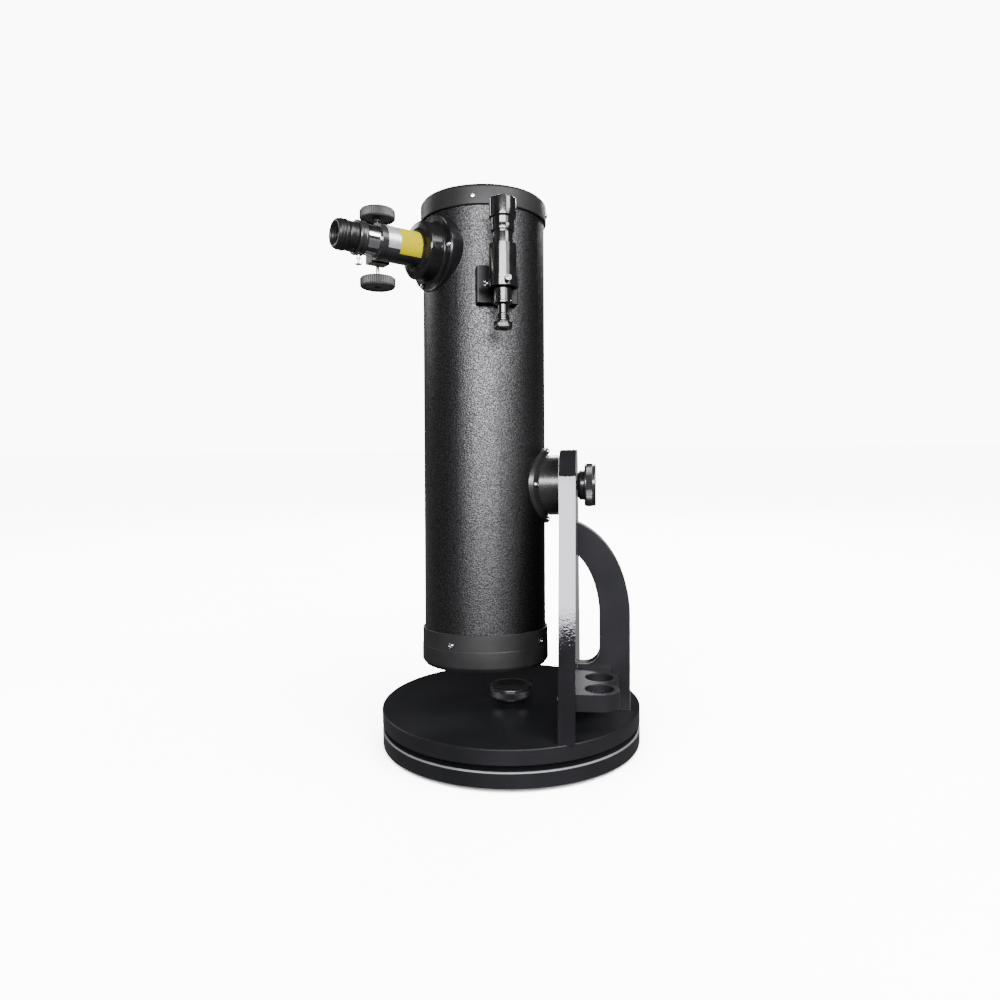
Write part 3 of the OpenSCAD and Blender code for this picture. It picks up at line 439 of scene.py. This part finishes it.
# CAD nodes that show their own shape
for node, name in {
    "non_slip_ring": "foot", "azimuth_bolt": "zinc", "azimuth_washer": "zinc", "bearing_pads": "slick",
    "rub_ring": "laminate", "azimuth_bush": "nylon", "altitude_bush": "nylon", "altitude_stud": "zinc",
    "board_screws": "zinc", "altitude_washer": "slick",
    "tube": "tube", "altitude_flange_screws": "screw", "mirror_cell": "cell", "mirror_pads": "cork",
    "primary_mirror": "mirror", "mirror_clips": "ring", "collimation_screws": "screw", "spider": "inner",
    "secondary_holder": "inner", "secondary_mirror": "mirror", "secondary_screws": "screw",
    "yellow_band": "yellow", "silver_band": "silver", "focus_rack": "brass", "pinion_shaft": "brass",
    "drawtube": "chrome", "eyepiece_barrel": "chrome", "shoe_mount_screws": "screw", "shoe_screw": "screw",
    "finder_o_ring": "soft",
}.items():
    paint_node(node, name)


# ---------------------------------------------------------------- boards and castings with rounded edges
CREASE = 40


def softened(node, name, width, paint_name, body, edge=None):
    """A piece that stands for a CAD node: its shape with every edge sharper than CREASE rounded over width
    millimetres. edge names the paint of those rounded edges, where it isn't the same as the faces' paint; a
    lighter paint there is a painted highlight along the edges."""
    bm = bmesh.new()
    bm.from_mesh(frame["nodes"][node].data)
    bmesh.ops.remove_doubles(bm, verts=bm.verts, dist=1e-6)
    bmesh.ops.dissolve_limit(bm, angle_limit=math.radians(0.5), verts=bm.verts, edges=bm.edges)
    obj = make_object(name, bm, CREASE)
    for part in (paint_name, edge or paint_name):
        obj.data.materials.append(PAINT[part])
    bevel = obj.modifiers.new("edges", "BEVEL")
    bevel.width = width * MM
    bevel.segments = 3
    bevel.limit_method = "ANGLE"
    bevel.angle_limit = math.radians(CREASE)
    bevel.harden_normals = True
    bevel.material = 1
    obj.modifiers.new("weighted", "WEIGHTED_NORMAL").keep_sharp = True
    paint(obj, paint_name, body, [node])


softened("side_arm", "arm_board", 1.6, "board", "turntable")
# the strut's and ground board's rounded edges get the lighter edge paint, a painted highlight
softened("carry_strut", "strut_board", 1.1, "deck", "turntable", "edge_highlight")
softened("ground_board", "ground_disc", 0.9, "deck", "ground", "edge_highlight")
softened("turntable_board", "turntable_disc", 1.2, "deck", "turntable")
softened("eyepiece_rack", "rack_board", 1.2, "deck", "turntable")
softened("altitude_flange", "altitude_casting", 0.8, "cast", "optical_tube")
softened("pinion_cover", "pinion_plate", 0.6, "cast", "optical_tube")
softened("focuser_body", "focuser_housing", 0.5, "cast", "optical_tube")
softened("finder_shoe", "shoe_casting", 1.4, "shoe", "optical_tube")
softened("finder_bracket", "bracket_casting", 0.8, "finder", "finder")


# ---------------------------------------------------------------- screws
SHANK_R, HEAD_R, HEAD_H = 2, 3.4, 1.9


def pan_screw(bm, matrix, radius, length):
    """A domed head with its seat at z 0, and its shank below."""
    profile = [(0, -length), (SHANK_R, -length), (SHANK_R, 0), (radius, 0, 0.1), (radius, HEAD_H * 0.31, 0.5),
               (radius * 0.72, HEAD_H * 0.93, 0.6), (radius * 0.2, HEAD_H), (0, HEAD_H)]
    lathe_mesh(bm, profile, matrix, segments=40)


def crossed(matrices, radius):
    """Cross-shaped cutters, one for every head."""
    arm = radius * 0.62
    half = radius * 0.14
    outline = [(arm, half), (half, half), (half, arm), (-half, arm), (-half, half), (-arm, half),
               (-arm, -half), (-half, -half), (-half, -arm), (half, -arm), (half, -half), (arm, -half)]
    cutter = bmesh.new()
    for matrix in matrices:
        low, high = [[cutter.verts.new(matrix @ (Vector((x, y, z * HEAD_H)) * MM)) for x, y in outline]
                     for z in (0.3, 1.5)]
        cutter.faces.new(low)
        cutter.faces.new(high)
        for i in range(len(outline)):
            cutter.faces.new((low[i - 1], low[i], high[i], high[i - 1]))
    return make_object("cross_cutter", cutter)


def screws(name, node, matrices, radius, length, body):
    """Cross-head screws at those places, as one piece."""
    bm = bmesh.new()
    for matrix in matrices:
        pan_screw(bm, matrix, radius, length)
    obj = make_object(name, bm)
    cut(obj, crossed(matrices, radius))
    paint(obj, "screw", body, [node])


RING_R = 82
RING_SCREWS = [(349.6, -91), (-197.2, -113)]  # height along the tube, angle of the first of four
FLANGE_FACE = 80.5
FLANGE_SCREW_R = 42.5
screws("ring_pan_screws", "ring_screws",
       [TUBE @ turned(turn + 90 * i) @ at(RING_R, 0, s) @ Z_TO_X
        for s, turn in RING_SCREWS for i in range(4)],
       HEAD_R, 6, "optical_tube")
screws("focuser_pan_screws", "focuser_flange_screws",
       [FOCUSER @ turned(90 + 120 * i) @ at(FLANGE_SCREW_R, 0, FLANGE_FACE) for i in range(3)],
       HEAD_R, 22, "optical_tube")
rack_low, rack_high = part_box("rack_screws")
rack_r = (rack_high[2] - rack_low[2]) / 2 / MM
rack_z = (rack_high[2] + rack_low[2]) / 2
screws("rack_pan_screws", "rack_screws",
       [axes((rack_low[0] + HEAD_H * MM, y, rack_z), (-1, 0, 0), (0, 0, 1))
        for y in (rack_low[1] + rack_r * MM, rack_high[1] - rack_r * MM)],
       rack_r, 30, "turntable")


# ---------------------------------------------------------------- pivot knobs
def pivot_knob(name, node, matrix, neck_h, body):
    """A dished knob with a finely ribbed rim on a flared neck. The head's inner face is at z 0."""
    rib, rim, neck, head = 27.8, 27.3, 19.4, 14.6
    profile = [(0, head - 3.4), (15.5, head - 3.4, 3), (20.5, head, 1.6), (rim, head, 3.8),
               (rim, head - 4.4, 0.3), (rib, head - 4.8, 0.2, 1), (rib, 2.6, 0.3, 1), (rim, 2.2, 0.3),
               (rim, 0, 1.9), (neck, 0, 0.8), (neck, -neck_h * 0.6, 2.4), (14.5, -neck_h, 0.8),
               (5.3, -neck_h), (5.3, 9), (0, 9)]
    obj = lathe(name, profile, matrix, segments=72 * 8, ribs=72, rib_depth=0.9)
    paint(obj, "knob", body, [node])


AZIMUTH_NECK, ALTITUDE_NECK = 6.3, 9.3
azimuth_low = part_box("azimuth_knob")[0]
pivot_knob("azimuth_ribbed_knob", "azimuth_knob", at(0, 0, azimuth_low[2] / MM + AZIMUTH_NECK), AZIMUTH_NECK,
           "azimuth_lock")
altitude_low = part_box("altitude_knob")[0]
pivot_knob("altitude_ribbed_knob", "altitude_knob",
           axes((altitude_low[0] + ALTITUDE_NECK * MM, ALTITUDE.y, ALTITUDE.z), (1, 0, 0), (0, 0, 1)),
           ALTITUDE_NECK, "altitude_lock")


# ---------------------------------------------------------------- tube ends
def tube_ends():
    """The rings on the tube's mouth and its foot, as outlines from the tube's axis and the altitude axis."""
    inner = 79.1
    front = [(inner, 339.4), (81.3, 339.4, 0.4), (RING_R, 340.3, 0.5), (RING_R, 361.2, 3.2), (79.2, 365, 2.2),
             (73.8, 365, 1.2), (72, 363.4, 0.8), (72, 361.8, 0.4), (inner, 361.8)]
    rear = [(inner, -182.9), (81.2, -182.9, 0.4), (81.7, -183.6, 0.4), (81.7, -203.6, 0.3),
            (82.3, -204.6, 0.4), (82.3, -224.2, 3.0), (77.8, -229.7, 1.6), (74, -229.7, 0.4),
            (74, -224, 0.6), (44.5, -224, 0.6), (44.5, -220, 0.6), (inner, -220)]
    for end, profile in (("front", front), ("rear", rear)):
        obj = lathe(end + "_end_ring", profile, TUBE, segments=224)
        paint(obj, "ring", "optical_tube", [end + "_ring"])


tube_ends()


def springs():
    """Wire springs around the three collimation bolts."""
    bm = bmesh.new()
    coil_r, wire_r, turns, low, high = 4.0, 0.6, 6, -219.4, -201.6
    steps, around = 26 * turns, 8
    for bolt in range(3):
        base = TUBE @ turned(120 * bolt) @ at(60, 0, low)
        rings = []
        for i in range(steps + 1):
            angle = TURN * turns * i / steps
            spot = base @ turned(math.degrees(angle)) @ at(coil_r, 0, (high - low) * i / steps)
            rings.append([bm.verts.new(spot @ (Vector((math.cos(a), 0, math.sin(a))) * wire_r * MM))
                          for a in [TURN * k / around for k in range(around)]])
        for near, far in zip(rings, rings[1:]):
            for k in range(around):
                bm.faces.new((near[k], near[k - 1], far[k - 1], far[k]))
        bm.faces.new(rings[0])
        bm.faces.new(rings[-1])
    paint(make_object("collimation_coils", bm), "zinc", "optical_tube",
          ["collimation_springs"])


springs()


# ---------------------------------------------------------------- focuser
def focuser():
    """The flange on the tube, the drawtube's collar with its thumbscrew, and the two focus knobs."""
    face, boss = FLANGE_FACE, 101
    flange = [(21.06, 50), (47.8, 50), (47.8, face - 2.2, 1.0), (46.4, face, 1.2), (45.2, face - 0.3, 0.4),
              (38.6, face - 0.3, 1.0), (35.6, face + 1.6, 1.6), (35.6, boss - 1.8, 0.8), (33.8, boss, 1.4),
              (26.6, boss + 1.2, 0.8), (24.6, boss + 2.2, 0.6), (23.5, boss + 2.8, 0.4), (21.06, boss + 2.8)]
    obj = lathe("focuser_flange_casting", flange, FOCUSER, segments=192)
    cut(obj, lathe("saddle_cutter", [(0, 100), (79.05, 100), (79.05, 420), (0, 420)], TUBE, segments=224))
    paint(obj, "flange", "optical_tube", ["focuser_flange"])

    collar = [(15.95, 174), (19, 174, 0.3), (20.4, 175.2, 0.4), (20.4, 177.2, 0.2), (19.9, 177.7, 0.2),
              (19.9, 181.6, 0.2), (20.4, 182.1, 0.3), (20.4, 183.6, 0.8), (19.4, 185, 0.5), (15.95, 185)]
    paint(lathe("drawtube_end_collar", collar, FOCUSER, segments=128), "cast", "focuser_drawtube",
          ["drawtube_collar"])

    thumb = [(0, 16.05), (2, 16.05), (2, 23.4), (2.9, 23.4, 0.2), (2.9, 24.4), (3.6, 24.4, 0.2),
             (4.4, 25.2, 0.3, 1), (4.4, 30.6, 0.3, 1), (3.6, 31.4, 0.4), (1.6, 31.6), (1.2, 30.8), (0, 30.8)]
    paint(lathe("eyepiece_thumbscrew", thumb, FOCUSER @ at(0, 0, 179.5) @ Z_TO_X, segments=24 * 6, ribs=24,
                rib_depth=0.5), "screw", "eyepiece_lock", ["eyepiece_screw"])

    bm = bmesh.new()
    edge, high = 21.8, 12.8
    knob = [(2.25, -3), (6.4, -3, 0.6), (7.2, 1.4, 0.5), (17.9, 1.4, 0.6), (18.6, 0, 0.4), (20.0, 0, 0.9),
            (edge, 1.4, 0.5, 1), (edge, high - 3.0, 0.8, 1), (20.4, high - 0.9, 1.2), (18.2, high, 0.6),
            (17.0, high - 1.3, 0.6), (4.4, high - 1.2, 0.8), (3.4, high - 3, 0.4), (2.25, high - 3)]
    pinion = Matrix.Translation(PINION) @ FOCUSER.to_3x3().to_4x4()
    for side in (1, -1):
        place = pinion @ Matrix.Rotation(math.radians(90 * side), 4, "Y") @ at(0, 0, 35.5)
        lathe_mesh(bm, knob, place, segments=54 * 6, ribs=54, rib_depth=0.8)
    paint(make_object("ribbed_focus_knobs", bm), "grip", "focus_pinion", ["focus_knobs"])


focuser()


def eyepiece():
    base = 185.3  # along the focuser, where its shoulder rests on the collar
    body = [(0, 2), (14, 2), (14, 0), (16.8, 0, 0.4), (17.4, 0.8, 0.3), (17.4, 2.6, 0.2), (17.0, 2.9, 0.2),
            (17.0, 3.5, 0.2), (17.4, 3.8, 0.2), (17.4, 10, 0.4), (16, 11.5, 0.4), (16, 19.5), (5.4, 19.5),
            (5, 18), (0, 18)]
    cup = [(16.05, 11.8), (17.5, 11.8, 0.5), (18.2, 12.8, 0.5), (18.2, 15.6, 0.6), (17.5, 16.3, 0.4),
           (17.5, 17.0, 0.4), (18.1, 17.7, 0.5), (18.0, 19.6, 0.6), (17.3, 20.2, 0.4), (17.2, 20.8, 0.4),
           (17.3, 22.2, 1.2), (15.4, 24.8, 1.6), (13.2, 24.6, 0.9), (12.2, 22.9, 0.8), (11.0, 22.6, 0.6),
           (10.2, 21.0, 0.6), (8.4, 20.4, 0.5), (7.6, 19.4, 0.4), (5.6, 18.4, 0.3), (5.3, 17.7),
           (16.05, 17.7)]
    lens = [(0, 17.2), (5.2, 17.2), (5.2, 18.1, 0.1), (4.2, 18.7, 0.6), (2.2, 19.1, 0.8), (0, 19.2)]
    place = FOCUSER @ at(0, 0, base)
    paint(lathe("eyepiece_housing", body, place, segments=128), "barrel", "eyepiece",
          ["eyepiece_body"])
    paint(lathe("rolled_eyecup", cup, place, segments=128), "soft", "eyepiece", ["eyecup"])
    paint(lathe("eye_lens", lens, place, segments=64), "glass", "eyepiece")


eyepiece()


# ---------------------------------------------------------------- finder
def finder():
    """The finder's tube, objective and eyepiece, and its three adjusting screws."""
    optics = [(6.05, 210), (10.2, 210, 0.3), (10.9, 210.6, 0.3), (10.9, 212.4, 0.3), (10.3, 213, 0.3),
              (10.3, 262, 0.5), (11.8, 266, 0.6), (11.8, 291.2, 0.1), (11.4, 291.5, 0.1), (11.4, 292.0, 0.1),
              (11.8, 292.3, 0.1), (11.8, 294), (13.3, 294, 0.3), (13.7, 294.5, 0.3), (13.7, 300.2, 0.1),
              (13.4, 300.5, 0.1), (13.4, 301.0, 0.1), (13.7, 301.3, 0.1), (13.7, 308.6, 0.3),
              (15.6, 309.4, 0.6), (16, 310.4, 0.5), (16, 330.4, 0.8), (15.2, 331.5, 0.4), (14.4, 331.5, 0.3),
              (14, 330.6, 0.3), (14, 312), (12, 312), (12, 303), (10.4, 303), (10.4, 268), (9, 268), (9, 229),
              (6.05, 229)]
    paint(lathe("finder_optical_tube", optics, FINDER, segments=144), "finder", "finder",
          ["finder_tube"])

    lens = [(0, 304.6), (4, 304.8, 1), (8, 305.4, 1), (11.9, 306.4), (11.9, 309.0), (8, 310.4, 1),
            (4, 311.1, 1), (0, 311.3)]
    paint(lathe("finder_objective", lens, FINDER, segments=96), "glass", "finder",
          ["finder_lens"])

    eye = [(0, 184.5), (4, 184.2, 0.8), (5.6, 181.4, 0.6), (9.8, 181, 0.6), (11, 182.2, 0.4),
           (11, 183.4, 0.2, 1), (11, 188.0, 0.2, 1), (11, 188.8, 0.3), (10, 189.8, 0.4), (7.2, 190.4, 0.2),
           (7.4, 191.0, 0.2), (7.4, 192.4, 0.2), (6.8, 192.8, 0.2), (6.8, 193.3, 0.2), (7.4, 193.7, 0.2),
           (7.4, 195.1, 0.2), (6.8, 195.5, 0.2), (6.8, 196.0, 0.2), (7.4, 196.4, 0.2), (7.4, 197.6, 0.4),
           (6, 199, 0.5), (6, 226), (0, 226)]
    paint(lathe("finder_eyepiece_cup", eye, FINDER, segments=40 * 6, ribs=40, rib_depth=0.35), "finder",
          "finder_focus", ["finder_eyepiece"])

    screw = [(0, 10.6), (1.4, 10.6, 0.3), (2, 11.4), (2, 17.5), (3.4, 17.5, 0.2), (3.4, 19.0, 0.2),
             (2.2, 19.1), (2.2, 19.4), (3.5, 19.4, 0.2), (4, 19.9, 0.2, 1), (4, 23.1, 0.2, 1),
             (3.4, 23.6, 0.3), (1.9, 23.6, 0.2), (1.5, 22.6, 0.2), (0, 22.6)]
    for i, turn in enumerate((4, 124, 244), 1):
        place = FINDER @ at(0, 0, 235) @ turned(turn) @ Z_TO_X
        obj = lathe(f"finder_thumbscrew_{i}", screw, place, segments=20 * 6, ribs=20, rib_depth=0.45)
        paint(obj, "dark_chrome", f"adjuster_{i}", [f"finder_adjuster_{i}"])


finder()


# ---------------------------------------------------------------- camera, light and floor
EYE = (0.1119, -1.0, 0.390)
LENS_MM = 27.64
YAW, PITCH, ROLL = math.radians(7.02), math.radians(-4.07), math.radians(-0.72)
WHITE = 10.5
FLOOR_LIGHT = 38.0
ROOM_SCALE = 2.5
# (upward part of the direction, share of ROOM_SCALE that comes from there)
ROOM = [(-1.0, 0.07), (-0.25, 0.09), (-0.08, 0.15), (-0.01, 0.15), (0.02, 0.02), (1.0, 0.012)]


def camera():
    data = bpy.data.cameras.new("camera")
    data.sensor_width = 36
    data.lens = LENS_MM
    obj = bpy.data.objects.new("camera", data)
    bpy.context.scene.collection.objects.link(obj)
    forward = Vector((-math.sin(YAW) * math.cos(PITCH), math.cos(YAW) * math.cos(PITCH), math.sin(PITCH)))
    right = Vector((math.cos(YAW), math.sin(YAW), 0))
    up = right.cross(forward)
    level = Matrix((right, up, -forward)).transposed().to_4x4()
    obj.matrix_world = Matrix.Translation(EYE) @ level @ Matrix.Rotation(ROLL, 4, "Z")
    bpy.context.scene.camera = obj


def soft_light(name, spot, target, size, radiance, colour=(1, 1, 1), glossy=True, leave_out=()):
    """An area light of that radiance, so its look in a reflection doesn't depend on its size. It doesn't
    light the pieces that are left out."""
    data = bpy.data.lights.new(name, "AREA")
    data.shape = "RECTANGLE"
    data.size, data.size_y = size
    data.energy = radiance * math.pi * size[0] * size[1]
    data.color = colour
    obj = bpy.data.objects.new(name, data)
    bpy.context.scene.collection.objects.link(obj)
    obj.visible_glossy = glossy
    if leave_out:
        receivers = bpy.data.collections.new("not_lit_by_" + name)
        for piece in leave_out:
            receivers.objects.link(bpy.data.objects[piece])
        for member in receivers.collection_objects:
            member.light_linking.link_state = "EXCLUDE"
        obj.light_linking.receiver_collection = receivers
    obj.matrix_world = axes(spot, Vector(spot) - Vector(target), Vector((0, 0, 1)).cross(Vector(spot)))


def stage():
    """A wide pale floor with a soft light of its own, kept out of the black paint's reflections."""
    bm = bmesh.new()
    bmesh.ops.create_circle(bm, cap_ends=True, segments=96, radius=60)
    floor = make_object("floor", bm)
    n = Nodes("pale_floor")
    n.finish(Base_Color=n.ramp(n.noise(3, 3.0), (0.3, grey(0.88)), (0.7, grey(0.91))), Roughness=0.9)
    floor.data.materials.append(n.material)
    floor.visible_glossy = False
    floor.visible_diffuse = False
    data = bpy.data.lights.new("floor_light", "SUN")
    data.energy = FLOOR_LIGHT
    data.angle = math.radians(70)
    sun = bpy.data.objects.new("floor_light", data)
    bpy.context.scene.collection.objects.link(sun)
    sun.matrix_world = axes((0, 0, 3), (0.1, -0.35, 1), (1, 0, 0))
    receivers = bpy.data.collections.new("lit_by_floor_light")
    receivers.objects.link(floor)
    sun.light_linking.receiver_collection = receivers


def world():
    """White behind the object for the eye. What the paint reflects is dark above and a lit floor below."""
    scene_world = bpy.data.worlds.new("room")
    bpy.context.scene.world = scene_world
    scene_world.use_nodes = True
    tree = scene_world.node_tree
    rays = tree.nodes.new("ShaderNodeLightPath")
    place = tree.nodes.new("ShaderNodeTexCoord")
    split = tree.nodes.new("ShaderNodeSeparateXYZ")
    height = tree.nodes.new("ShaderNodeMapRange")
    ramp = tree.nodes.new("ShaderNodeValToRGB")
    scale = tree.nodes.new("ShaderNodeMix")
    mix = tree.nodes.new("ShaderNodeMix")
    tree.links.new(place.outputs["Generated"], split.inputs["Vector"])
    tree.links.new(split.outputs["Z"], height.inputs["Value"])
    height.inputs["From Min"].default_value = -1
    elements = ramp.color_ramp.elements
    while len(elements) < len(ROOM):
        elements.new(0.5)
    for element, (up, level) in zip(elements, ROOM):
        element.position = (up + 1) / 2
        element.color = (level, level, level * 1.05, 1)
    tree.links.new(height.outputs["Result"], ramp.inputs["Fac"])
    for node in (scale, mix):
        node.data_type = "RGBA"
    scale.blend_type = "MULTIPLY"
    scale.inputs["Factor"].default_value = 1
    scale.inputs["B"].default_value = (ROOM_SCALE, ROOM_SCALE, ROOM_SCALE, 1)
    tree.links.new(ramp.outputs["Color"], scale.inputs["A"])
    tree.links.new(rays.outputs["Is Camera Ray"], mix.inputs["Factor"])
    tree.links.new(scale.outputs["Result"], mix.inputs["A"])
    mix.inputs["B"].default_value = (WHITE, WHITE, WHITE, 1)
    tree.links.new(mix.outputs["Result"], tree.nodes["Background"].inputs["Color"])


camera()
stage()
world()
soft_light("key", (0.38, -3.2, 1.49), (0, 0, 0.40), (3.3, 0.86), 41, (0.98, 0.97, 1.0))
soft_light("key_side", (2.4, -2.0, 1.6), (0, 0, 0.40), (1.2, 0.75), 6)
soft_light("left", (-2.8, -0.6, 1.3), (0, 0, 0.35), (0.8, 1.2), 0.6)
soft_light("top", (2.1, -1.4, 2.4), (0, 0, 0.3), (1.5, 1.5), 22)
soft_light("back", (0.2, 1.7, 3.0), (0, 0, 0.35), (2.2, 0.8), 14, glossy=False)
soft_light("back_sheen", (0.1, 2.8, 2.1), (0, 0, 0.35), (2.6, 0.9), 22,
           leave_out=("arm_board", "turntable_disc", "azimuth_ribbed_knob"))
soft_light("left_back", (-2.6, 1.6, 1.8), (0, 0, 0.35), (1.0, 1.2), 6)
